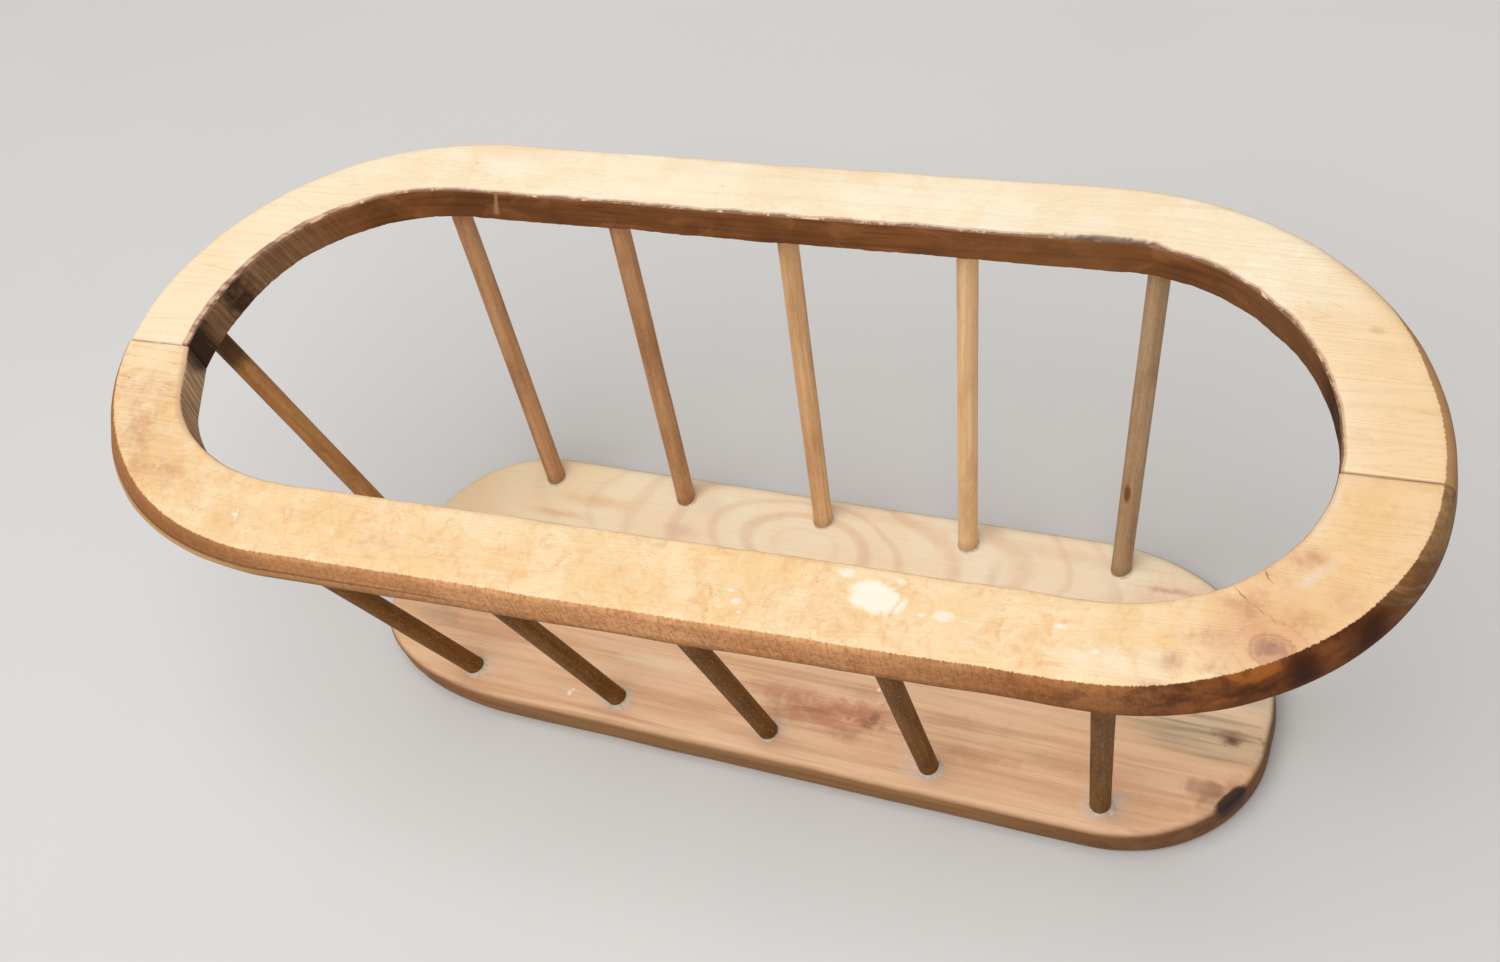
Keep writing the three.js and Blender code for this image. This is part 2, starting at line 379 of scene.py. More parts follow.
class Graph:
    """A material's nodes, written as calls. A socket or a number may be given for any input."""

    def __init__(self, name):
        self.material = bpy.data.materials.new(name)
        self.material.use_nodes = True
        self.tree = self.material.node_tree
        self.tree.nodes.clear()

    def node(self, kind, values=(), **props):
        n = self.tree.nodes.new(kind)
        for key, value in props.items():
            setattr(n, key, value)
        for slot, value in dict(values).items():
            self.put(n.inputs[slot], value)
        return n

    def put(self, socket, value):
        if isinstance(value, bpy.types.NodeSocket):
            self.tree.links.new(value, socket)
        else:
            socket.default_value = value

    def math(self, op, a, b=0.0, c=0.0, clamp=False):
        return self.node("ShaderNodeMath", {0: a, 1: b, 2: c}, operation=op, use_clamp=clamp).outputs[0]

    def vec(self, op, a, b=(0, 0, 0), scale=None):
        n = self.node("ShaderNodeVectorMath", {0: a, 1: b}, operation=op)
        if scale is not None:
            self.put(n.inputs["Scale"], scale)
        return n.outputs["Value"] if op in ("LENGTH", "DOT_PRODUCT", "DISTANCE") else n.outputs["Vector"]

    def xyz(self, v):
        return self.node("ShaderNodeSeparateXYZ", {0: v}).outputs

    def join(self, x, y, z=0.0):
        return self.node("ShaderNodeCombineXYZ", {0: x, 1: y, 2: z}).outputs[0]

    def turned(self, v, angle):
        return self.node("ShaderNodeVectorRotate", {"Vector": v, "Angle": angle},
                         rotation_type="Z_AXIS").outputs[0]

    def noise(self, v, scale=1.0, detail=3.0, rough=0.55, distort=0.0):
        return self.node("ShaderNodeTexNoise", {
            "Vector": v, "Scale": scale, "Detail": detail, "Roughness": rough, "Distortion": distort,
        }).outputs["Fac"]

    def step(self, x, low, high):
        """0 at low and 1 at high, smooth between; low may be the larger."""
        return self.node("ShaderNodeMapRange", {0: x, 1: low, 2: high},
                         interpolation_type="SMOOTHSTEP").outputs[0]

    def mix(self, f, a, b):
        n = self.node("ShaderNodeMix", data_type="RGBA", clamp_factor=True)
        self.put(n.inputs[0], f)
        self.put(n.inputs[6], a)
        self.put(n.inputs[7], b)
        return n.outputs[2]

    def times(self, a, b):
        return self.math("MULTIPLY", a, b)

    def plus(self, a, b):
        return self.math("ADD", a, b)

    def minus(self, a, b):
        return self.math("SUBTRACT", a, b)

    def muladd(self, a, b, c):
        return self.math("MULTIPLY_ADD", a, b, c)

    def absolute(self, a):
        return self.math("ABSOLUTE", a)

    def larger(self, a, b):
        return self.math("MAXIMUM", a, b)

    def blob(self, v, x, y, rx, ry, soft=0.6, ragged=0.0, grain=None, angle=0.0):
        """An ellipse on the plan, 0 at its edge and 1 inside; ragged lets a noise bend the edge."""
        p = self.vec("SUBTRACT", v, (x, y, 0))
        if angle:
            p = self.turned(p, math.radians(angle))
        p = self.vec("MULTIPLY", p, (1 / rx, 1 / ry, 0))
        d = self.vec("LENGTH", p)
        if ragged:
            d = self.plus(d, self.muladd(grain, ragged, -ragged / 2))
        return self.step(d, 1.0, 1.0 - soft)

    def stroke(self, v, ax, ay, bx, by, half):
        """A crack or scratch on the plan, at most `half` wide to each side and narrow at its ends."""
        d = Vector((bx - ax, by - ay, 0))
        p = self.vec("MULTIPLY", self.vec("SUBTRACT", v, (ax, ay, 0)), (1, 1, 0))
        t = self.math("DIVIDE", self.vec("DOT_PRODUCT", p, tuple(d)), d.length_squared, clamp=True)
        near = self.vec("SUBTRACT", p, self.vec("SCALE", tuple(d), scale=t))
        ends = self.times(t, self.minus(1.0, t))
        width = self.muladd(self.math("SQRT", ends), half * 1.6, half * 0.2)
        return self.step(self.math("DIVIDE", self.vec("LENGTH", near), width), 1.0, 0.25)

    def contour(self, n, width, at=0.5):
        """Thin lines where a noise passes one value: grain, veins, hairlines."""
        return self.step(self.absolute(self.minus(n, at)), width, width * 0.25)

    def flecks(self, v, scale, radius, share):
        """Scattered dots: a share of the cells of a lattice hold one each."""
        n = self.node("ShaderNodeTexVoronoi", {"Vector": v, "Scale": scale, "Randomness": 1.0}, feature="F1")
        pick = self.step(self.xyz(n.outputs["Color"])[0], 1.0 - share, 1.0 - share + 0.02)
        return self.times(self.step(n.outputs["Distance"], radius, radius * 0.45), pick)

    def finish(self, color, rough, height, bump, distance, specular=0.5):
        shader = self.node("ShaderNodeBsdfPrincipled", {"Base Color": color, "Roughness": rough})
        self.put(shader.inputs["Specular IOR Level"], specular)
        n = self.node("ShaderNodeBump", {"Strength": bump, "Distance": distance, "Height": height})
        self.put(shader.inputs["Normal"], n.outputs[0])
        out = self.node("ShaderNodeOutputMaterial")
        self.tree.links.new(shader.outputs[0], out.inputs[0])
        return self.material

    def object_mm(self):
        p = self.node("ShaderNodeTexCoord").outputs["Object"]
        return self.vec("SCALE", p, scale=1000.0)


class Coat:
    """A colour built up in layers. Colours are sRGB triples, or another coat's socket."""

    def __init__(self, graph, mask, low, high):
        self.graph = graph
        self.out = graph.mix(mask, self.ready(low), self.ready(high))

    def ready(self, colour):
        return lin(*colour) if isinstance(colour, tuple) else colour

    def tint(self, mask, amount, colour):
        self.out = self.graph.mix(self.graph.times(mask, amount), self.out, self.ready(colour))

    def cover(self, mask, coat):
        self.out = self.graph.mix(mask, self.out, coat.out)


# -------------------------------------------------- materials
def rim_material(name, seed, front):
    g = Graph(name)
    p = g.object_mm()
    up = g.xyz(g.node("ShaderNodeNewGeometry").outputs["Normal"])[2]
    rail = g.node("ShaderNodeAttribute", attribute_name="rail", attribute_type="GEOMETRY").outputs["Vector"]
    along, inset, level = g.xyz(rail)
    edge = g.node("ShaderNodeAttribute", attribute_name="edge", attribute_type="GEOMETRY").outputs["Vector"]
    outset, across = g.xyz(edge)[:2]
    x, y = g.xyz(p)[:2]
    # the board lies at a slight angle, so its grain does too
    q = g.vec("ADD", g.turned(p, -TWIST), (seed * 137.0, seed * 91.0, seed * 53.0))

    cloud = g.noise(q, 0.016, 3.0, 0.5, 0.4)
    mottle = g.noise(q, 0.05, 4.0, 0.6, 0.6)
    small = g.noise(q, 0.16, 4.0, 0.65, 0.8)
    tiny = g.noise(q, 0.6, 3.0, 0.6)
    fibre = g.noise(g.vec("MULTIPLY", q, (0.07, 1.5, 1.5)), 1.0, 4.0, 0.7)
    growth = g.noise(g.vec("MULTIPLY", q, (0.0035, 0.075, 0.03)), 1.0, 2.0, 0.5, 0.4)

    # ---- the planed top
    if front:
        col = Coat(g, g.step(mottle, 0.36, 0.64), (249, 221, 179), (244, 209, 157))
        col.tint(g.step(cloud, 0.48, 0.68), 0.6, (244, 204, 146))
        col.tint(g.step(small, 0.50, 0.70), 0.58, (240, 190, 128))
        col.tint(g.step(small, 0.46, 0.28), 0.42, (255, 236, 202))
    else:
        silk = g.noise(g.vec("MULTIPLY", q, (0.016, 0.22, 0.22)), 1.0, 4.0, 0.6, 0.3)
        col = Coat(g, g.step(mottle, 0.36, 0.66), (254, 240, 212), (251, 230, 196))
        col.tint(g.step(cloud, 0.45, 0.7), 0.5, (248, 216, 166))
        col.tint(g.step(silk, 0.50, 0.72), 0.35, (244, 206, 158))
        col.tint(g.step(small, 0.5, 0.25), 0.2, (255, 240, 216))
    ends = g.step(g.absolute(x), 150.0, 212.0)
    lines = g.contour(growth, 0.007)
    for at in (0.40, 0.44, 0.47, 0.53, 0.56, 0.60, 0.64):
        lines = g.larger(lines, g.times(g.contour(growth, 0.005, at), 0.8))
    lines = g.times(lines, g.step(tiny, 0.2, 0.6))
    left_end = g.step(x, -165.0, -208.0)
    lines_k = g.plus(g.muladd(ends, 0.14, 0.03 if front else 0.07), g.times(left_end, 0.14))
    col.tint(lines, lines_k, (186, 128, 84))
    col.tint(g.step(fibre, 0.50, 0.80), g.muladd(ends, 0.06, 0.08), (214, 160, 108))
    col.tint(g.step(tiny, 0.54, 0.74), 0.12, (216, 160, 106))
    height = g.plus(g.times(fibre, 0.3), g.times(lines, -0.3))
    rough = g.muladd(mottle, 0.18, 0.42)

    if front:
        # thin stains that wander over the middle of the rail, and dark pores
        middle = g.step(g.absolute(g.plus(x, 10.0)), 190.0, 120.0)
        patchy = g.step(g.noise(q, 0.03, 2.0, 0.5), 0.40, 0.62)
        drift = g.noise(q, 0.045, 2.0, 0.5, 1.2)
        stain = g.larger(g.contour(drift, 0.030), g.times(g.contour(drift, 0.022, 0.60), 0.8))
        stain = g.times(stain, g.step(small, 0.36, 0.60))
        col.tint(stain, g.muladd(middle, 0.14, 0.06), (224, 160, 100))
        wormy = g.noise(q, 0.11, 2.0, 0.5, 1.0)
        veins = g.larger(g.contour(wormy, 0.016), g.times(g.contour(wormy, 0.012, 0.57), 0.8))
        broken = g.step(g.noise(q, 0.4, 3.0, 0.6), 0.48, 0.62)
        veins = g.times(g.times(veins, patchy), broken)
        col.tint(veins, g.muladd(middle, 0.20, 0.06), (190, 124, 76))
        bloom = g.times(g.step(wormy, 0.52, 0.66), g.times(patchy, g.step(tiny, 0.35, 0.6)))
        col.tint(bloom, 0.22, (232, 174, 112))
        pores = g.flecks(g.vec("MULTIPLY", q, (1.0, 0.55, 1.0)), 0.15, 0.075, 0.30)
        pores = g.larger(pores, g.flecks(g.vec("MULTIPLY", q, (0.8, 1.0, 1.0)), 0.33, 0.085, 0.14))
        pores = g.times(pores, g.step(patchy, 0.0, 0.6))
        col.tint(pores, 0.62, (128, 84, 52))
        height = g.plus(height, g.times(pores, -0.5))

        # handling stains towards both ends
        blot = g.times(g.step(g.noise(q, 0.085, 3.0, 0.5, 0.4), 0.36, 0.66), g.step(tiny, 0.1, 0.55))
        for bx, by, rx, ry, k in (
                (-205, -50, 24, 20, 0.50), (-190, -70, 30, 14, 0.55), (-160, -82, 30, 8, 0.35),
                (-216, -36, 12, 10, 0.35), (-96, -80, 16, 6, 0.4), (-182, -52, 12, 8, 0.3)):
            col.tint(g.times(g.blob(p, bx, by, rx, ry, 0.9, 1.0, small), blot), k, (208, 144, 100))
        col.tint(g.times(g.blob(p, -206, -60, 16, 22, 0.9, 1.0, small), blot), 0.35, (176, 116, 92))
        for bx, by, rx, ry, k in (
                (202, -27, 9, 7, 0.9), (193, -38, 12, 8, 0.85), (204, -48, 11, 7, 0.8),
                (180, -68, 20, 7, 0.9), (176, -58, 12, 7, 0.55), (187, -49, 14, 10, 0.8),
                (206, -61, 13, 6, 0.7), (214, -38, 10, 8, 0.6), (168, -76, 14, 3, 0.5)):
            col.tint(g.times(g.blob(p, bx, by, rx, ry, 0.9, 1.0, small), blot), k, (186, 124, 96))
        col.tint(g.blob(p, 196, -46, 36, 30, 0.9, 0.8, small), 0.36, (230, 170, 120))
        col.tint(g.step(x, 186.0, 214.0), 0.42, (238, 192, 138))
        col.tint(g.blob(p, 150, -72, 26, 9, 0.9, 1.0, small), 0.45, (255, 243, 220))

        # where the rail turns at the left, grain lines run straight across it
        rows = g.plus(y, g.muladd(small, 2.4, g.times(x, 0.02)))
        rows = g.math("PINGPONG", rows, 2.3)
        rows = g.times(g.step(rows, 0.75, 0.1), g.times(g.step(x, -190.0, -206.0), g.step(y, -48.0, -36.0)))
        col.tint(g.times(rows, g.step(mottle, 0.36, 0.6)), 0.38, (176, 120, 84))

        # a knot with its rings, and the short checks round it
        near = g.vec("MULTIPLY", g.vec("SUBTRACT", p, (196.0, -58.2, 0)), (0.92, 1.05, 0))
        bend = g.noise(q, 0.22, 4.0, 0.65, 0.6)
        d = g.plus(g.vec("LENGTH", near), g.muladd(bend, 4.8, -2.4))
        col.tint(g.step(d, 15.0, 4.0), 0.40, (222, 160, 124))
        col.tint(g.times(g.step(d, 6.2, 3.8), g.step(tiny, 0.1, 0.5)), 0.40, (184, 132, 114))
        col.tint(g.times(g.step(d, 5.6, 2.6), g.step(small, 0.40, 0.62)), 0.45, (146, 96, 88))
        col.tint(g.step(d, 2.8, 0.8), 0.42, (124, 84, 86))
        col.tint(g.step(g.absolute(g.minus(d, 5.4)), 0.8, 0.15), 0.34, (156, 100, 76))
        outer_rings = g.step(g.math("PINGPONG", g.times(d, 0.26), 0.5), 0.30, 0.5)
        outer_rings = g.times(outer_rings, g.times(g.step(d, 19.0, 8.0), g.step(d, 5.6, 7.0)))
        outer_rings = g.times(outer_rings, g.step(small, 0.36, 0.58))
        col.tint(outer_rings, 0.24, (190, 120, 86))
        crook = g.vec("ADD", p, g.vec("SCALE", g.join(g.plus(bend, -0.5), g.plus(small, -0.5)), scale=4.0))
        for ax, ay, bx, by, w, k in (
                (189.6, -32.2, 192.0, -37.0, 0.36, 0.6), (182.2, -40.0, 187.0, -44.4, 0.30, 0.55),
                (187.0, -44.4, 196.0, -49.0, 0.30, 0.3)):
            m = g.stroke(crook, ax, ay, bx, by, w)
            col.tint(m, k, (120, 76, 56))
            height = g.plus(height, g.times(m, -0.6 * k))

        # paler and pinker places
        col.tint(g.blob(p, -221, -14, 18, 22, 0.8, 0.6, small), 0.40, (253, 232, 196))
        col.tint(g.blob(p, 184, -56, 9, 16, 0.95, 1.0, small, 20), 0.30, (228, 178, 154))

        # chalky wear by the right seam and along its inner arris
        chalk = g.blob(p, 203.5, -31.5, 9, 3.2, 0.9, 1.5, small, -50)
        chalk = g.larger(chalk, g.times(g.step(inset, 4.0, 1.0), g.blob(p, 203, -8, 9, 14, 0.6, 0.8, small)))
        col.tint(g.times(chalk, g.step(tiny, 0.3, 0.55)), 0.55, (236, 222, 206))
        # dabs of white paint
        paint = g.blob(p, 78.5, -65.3, 11.0, 6.6, 0.35, 0.7, small)
        for bx, by, r in (
                (67, -58.6, 3.2), (85, -58.2, 2.2), (101.5, -67, 3.4), (94.5, -68, 1.3),
                (36, -75.5, 2.0), (38, -79, 1.4), (33, -72, 1.2), (136, -63, 2.0), (148, -69, 1.6),
                (-151, -80, 1.3)):
            paint = g.larger(paint, g.times(g.blob(p, bx, by, r * 1.3, r * 0.75, 0.75, 1.1, small), 0.8))
        paint = g.times(paint, g.step(up, 0.5, 0.8))
        col.tint(paint, 0.85, (254, 247, 232))
        height = g.plus(height, g.times(paint, 0.4))
        scratch = g.stroke(p, -150.5, -77.5, -149.8, -83.0, 0.35)
        scratch = g.larger(scratch, g.stroke(p, 49, -84, 50, -90, 0.25))
        col.tint(scratch, 0.8, (255, 246, 228))
    else:
        for bx, by, rx, ry, k in (
                (205.5, 58.3, 3.4, 2.4, 0.4), (225, 30, 5.0, 0.8, 0.4), (-128, 84, 1.2, 0.8, 0.4),
                (-27, 86, 1.0, 0.6, 0.3)):
            col.tint(g.blob(p, bx, by, rx, ry, 0.8, 0.8, small), k, (176, 124, 92))
        for bx, by, rx, ry, k in ((-112, 84, 22, 6, 0.4), (6, 74, 5, 1.6, 0.8), (40, 88, 70, 8, 0.2)):
            col.tint(g.blob(p, bx, by, rx, ry, 0.9, 1.1, small), k, (255, 246, 230))
        col.tint(g.times(g.step(outset, 6.0, 1.0), g.step(x, 150.0, 205.0)), 0.35, (212, 168, 126))
        col.tint(g.step(x, 176.0, 222.0), 0.58, (241, 200, 144))
        col.tint(g.step(x, -140.0, -190.0), 0.45, (253, 234, 198))

    # ---- the worn arris towards the opening
    wave = g.noise(g.join(g.times(along, 0.075), seed), 1.0, 4.0, 0.65)
    if front:
        reach = g.muladd(wave, 2.4, 0.2)
        band = g.step(g.minus(inset, reach), 0.5, -0.3)
        col.tint(band, g.muladd(ends, 0.30, 0.12), (226, 170, 132))
        bevel = g.times(g.step(inset, 3.2, 1.4), g.step(x, -176.0, -196.0))
        col.tint(bevel, 0.5, (206, 164, 138))
    else:
        left = g.step(x, -150.0, -196.0)
        reach = g.plus(g.muladd(wave, 3.4, -0.2), g.times(left, 1.3))
        gap = g.minus(inset, reach)
        band = g.step(gap, 0.5, -0.4)
        col.tint(band, g.muladd(left, 0.15, 0.5), (206, 150, 122))
        col.tint(g.times(band, g.step(silk, 0.4, 0.6)), left, (150, 110, 92))
        rim_line = g.step(g.absolute(gap), 0.55, 0.1)
        col.tint(rim_line, 0.35, (168, 112, 84))
        tear = g.times(g.step(g.minus(inset, g.muladd(wave, 3.4, -0.75)), 0.25, -0.15),
                       g.step(small, 0.34, 0.48))
        col.tint(tear, 0.8, (98, 58, 40))
        height = g.plus(height, g.times(tear, -0.15))
        # a torn place over the right-hand rod
        scar = g.times(g.blob(p, 116, 78, 24, 8, 0.5, 1.3, small), g.step(inset, 4.0, 2.0))
        col.tint(scar, 0.8, (92, 52, 38))

    # glue has drawn a brown hairline along the right-hand joint
    in_rim = g.turned(g.vec("SUBTRACT", p, (*RIM["origin"], 0)), -TWIST)
    off_seam = g.absolute(g.minus(g.xyz(in_rim)[1], seam_at(219.0)))
    hairline = g.step(off_seam, g.muladd(small, 1.0, 0.3), 0.1)
    hairline = g.times(hairline, g.step(x, 100.0, 110.0))
    col.tint(hairline, 0.6, (160, 108, 68))

    # ---- the sawn walls, with saw marks across the grain
    saw = g.noise(g.join(g.times(along, 1.35), g.times(level, 1.3), seed * 3.0), 1.0, 3.0, 0.65, 0.2)
    saw_fine = g.noise(g.join(g.times(along, 3.2), g.times(level, 2.2), seed * 5.0), 1.0, 2.0, 0.6)
    run = g.noise(g.join(g.times(along, 0.03), g.times(level, 0.7), seed), 1.0, 3.0, 0.6)
    patch = g.noise(g.join(g.times(along, 0.055), g.times(level, 1.3), seed + 4), 1.0, 4.0, 0.6, 0.5)
    layers = g.noise(g.join(g.times(along, 0.02), g.times(level, 7.0), seed + 9), 1.0, 3.0, 0.6, 0.3)
    out_col = Coat(g, g.step(run, 0.34, 0.66), (232, 170, 118), (212, 146, 92))
    out_col.tint(g.step(layers, 0.46, 0.7), 0.3, (158, 98, 56))
    out_col.tint(g.step(saw, 0.45, 0.66), 0.40, (142, 82, 44))
    # painted highlight: the upper part of each sawn outer wall is made lighter, where it rounds into the top
    out_col.tint(g.step(level, 0.50, 0.92), 0.28, (236, 180, 126))
    out_col.tint(g.step(saw_fine, 0.50, 0.32), 0.42, (232, 176, 128))
    out_col.tint(g.step(saw_fine, 0.54, 0.72), 0.35, (116, 64, 34))
    if front:
        out_col.tint(g.step(tiny, 0.48, 0.64), 0.36, (132, 80, 44))
        out_col.tint(g.step(tiny, 0.48, 0.34), 0.26, (236, 188, 140))
        right = g.step(x, 50.0, 150.0)
        burnt = g.step(x, 146.0, 188.0)
        out_col.tint(g.step(x, -20.0, -120.0), 0.25, (170, 112, 66))
        out_col.tint(right, 0.65, (140, 76, 28))
        out_col.tint(burnt, 0.76, (98, 48, 16))
        out_col.tint(g.times(g.step(x, 100.0, 150.0), g.step(small, 0.44, 0.60)), 0.4, (70, 34, 14))
        out_col.tint(g.step(patch, 0.44, 0.64), g.muladd(burnt, 0.50, 0.10), (52, 26, 14))
        out_col.tint(g.times(g.step(patch, 0.44, 0.32), burnt), 0.6, (176, 104, 42))
        for bx, by, rx, ry, k, tone in (
                (193, -76, 8, 7, 0.55, (198, 120, 56)), (207, -62, 8, 8, 0.85, (50, 28, 22)),
                (222, -44, 9, 9, 0.80, (60, 34, 18)), (214, -54, 6, 5, 0.5, (150, 88, 44))):
            out_col.tint(g.blob(p, bx, by, rx, ry, 0.8, 0.9, small), k, tone)
        olive = g.times(g.step(x, 200.0, 214.0), g.step(g.plus(y, g.muladd(small, 8.0, -4.0)), -40.0, -30.0))
        out_col.tint(olive, 0.85, (124, 86, 52))
        slants = g.join(g.plus(g.times(along, 0.35), g.times(level, 4.0)), g.times(level, 0.8), 3.0)
        slants = g.noise(slants, 1.0, 3.0, 0.6)
        out_col.tint(g.times(olive, g.step(slants, 0.45, 0.72)), 0.45, (178, 142, 102))
        out_col.tint(g.times(g.step(x, 200.0, 214.0), g.step(y, -26.0, -6.0)), 0.85, (168, 130, 90))
        out_col.tint(g.times(olive, g.step(small, 0.46, 0.60)), 0.45, (96, 64, 38))
        # on the left the lower arris was eased with a file and shows lighter wood
        far_left = g.step(x, -128.0, -160.0)
        out_col.tint(far_left, 0.68, (156, 102, 54))
        out_col.tint(g.times(far_left, g.step(saw_fine, 0.48, 0.62)), 0.4, (118, 74, 40))
        lip = g.times(far_left, g.step(g.plus(level, g.muladd(saw, 0.10, -0.05)), 0.38, 0.26))
        # this layer fades towards the seam; the band and the groove below do not
        lip = g.times(lip, g.step(y, -12.0, -34.0))
        out_col.tint(lip, 0.80, (232, 180, 120))
        eased = g.times(g.step(x, -60.0, -110.0), g.step(g.absolute(g.plus(level, -0.24)), 0.15, 0.05))
        out_col.tint(eased, 0.50, (202, 164, 112))
        groove = g.times(g.step(x, -20.0, -100.0), g.step(g.absolute(g.plus(level, -0.42)), 0.06, 0.02))
        out_col.tint(groove, 0.50, (104, 66, 38))
        painted_low_shade = g.muladd(far_left, -0.55, 0.62)
    else:
        out_col.tint(g.step(patch, 0.5, 0.7), 0.3, (140, 92, 60))
        out_col.tint(g.step(x, 196.0, 212.0), 0.85, (168, 130, 90))
        painted_low_shade = 0.4
    # painted shade: the lower part of each sawn outer wall is darkened, where it rounds away under the rail
    out_col.tint(g.step(level, 0.42, 0.06), painted_low_shade, (112, 68, 38))

    in_col = Coat(g, g.step(run, 0.32, 0.68), (142, 90, 48), (114, 70, 35))
    in_col.tint(g.step(layers, 0.45, 0.66), 0.55, (86, 50, 30))
    in_col.tint(g.step(patch, 0.5, 0.66), 0.4, (172, 116, 74))
    in_col.tint(g.step(saw_fine, 0.55, 0.75), 0.25, (80, 48, 30))
    # where the wall turns across the board it shows end grain, in long greyish strokes
    turn = g.step(x, -164.0, -206.0)
    strokes = g.join(g.plus(g.times(along, 0.6), g.times(level, 1.6)), g.times(level, 0.5), seed)
    strokes = g.noise(strokes, 1.0, 4.0, 0.65)
    if front:
        end_col = Coat(g, g.step(strokes, 0.34, 0.66), (226, 194, 156), (160, 130, 98))
    else:
        end_col = Coat(g, g.step(strokes, 0.34, 0.64), (164, 128, 94), (124, 94, 68))
    in_col.tint(turn, 0.9, end_col.out)
    # glue and soot by the left seam, a burnt stretch at the right end
    reach_s = 13.0 if front else 17.0
    soot = g.step(g.plus(along, g.muladd(strokes, 26.0, -13.0)), reach_s, reach_s - 9.0)
    if front:
        soot = g.times(soot, g.step(g.plus(g.times(along, 0.045), g.times(level, -0.8)), 0.15, -0.15))
    in_col.tint(soot, 0.86, (34, 21, 15))
    if not front:
        rod = g.blob(p, -211, 15, 14, 11, 0.6, 1.0, small)
        in_col.tint(rod, 0.85, (34, 20, 14))
        in_col.tint(g.times(g.step(x, 40.0, 90.0), g.step(x, 150.0, 110.0)), 0.25, (160, 112, 70))
        char = g.times(g.step(x, 186.0, 198.0), g.step(g.noise(q, 0.07, 3.0, 0.6, 0.6), 0.36, 0.5))
        in_col.tint(char, 0.8, (44, 28, 20))
        in_col.tint(g.times(g.step(x, 130.0, 176.0), g.step(x, 196.0, 186.0)), 0.45, (126, 90, 60))
        sliver = g.absolute(g.plus(x, g.muladd(level, -5.5, 119.5)))
        sliver = g.times(g.step(sliver, g.muladd(level, -1.6, 2.4), 0.2), g.step(level, 0.16, 0.3))
        in_col.tint(sliver, 0.6, (206, 152, 104))

    inside = g.step(across, 0.55, 0.45)
    in_side = g.times(inside, g.step(g.plus(up, g.muladd(small, 0.3, -0.15)), 0.72, 0.5))
    brow = g.plus(g.muladd(saw, 1.2, 0.6 if front else 0.1),
                  g.times(g.step(x, 120.0, 200.0), 1.7 if front else 0.0))
    if not front:
        brow = g.plus(brow, g.times(g.step(x, 205.0, 226.0), 2.2))
    out_side = g.times(g.step(across, 0.45, 0.55), g.step(g.minus(outset, brow), 0.25, -0.15))
    out_side = g.larger(out_side, g.times(g.step(across, 0.45, 0.55), g.step(up, 0.72, 0.55)))
    col.cover(out_side, out_col)
    col.cover(in_side, in_col)
    under = g.step(up, -0.55, -0.85)
    col.tint(under, 0.6, (176, 126, 84))
    wall = g.larger(out_side, in_side)
    height = g.mix(wall, height, g.plus(g.times(saw, 0.8), g.times(saw_fine, 0.3)))
    rough = g.plus(rough, g.times(wall, 0.26))
    return g.finish(col.out, rough, height, 0.4, 0.0007, specular=g.muladd(wall, -0.2, 0.3))


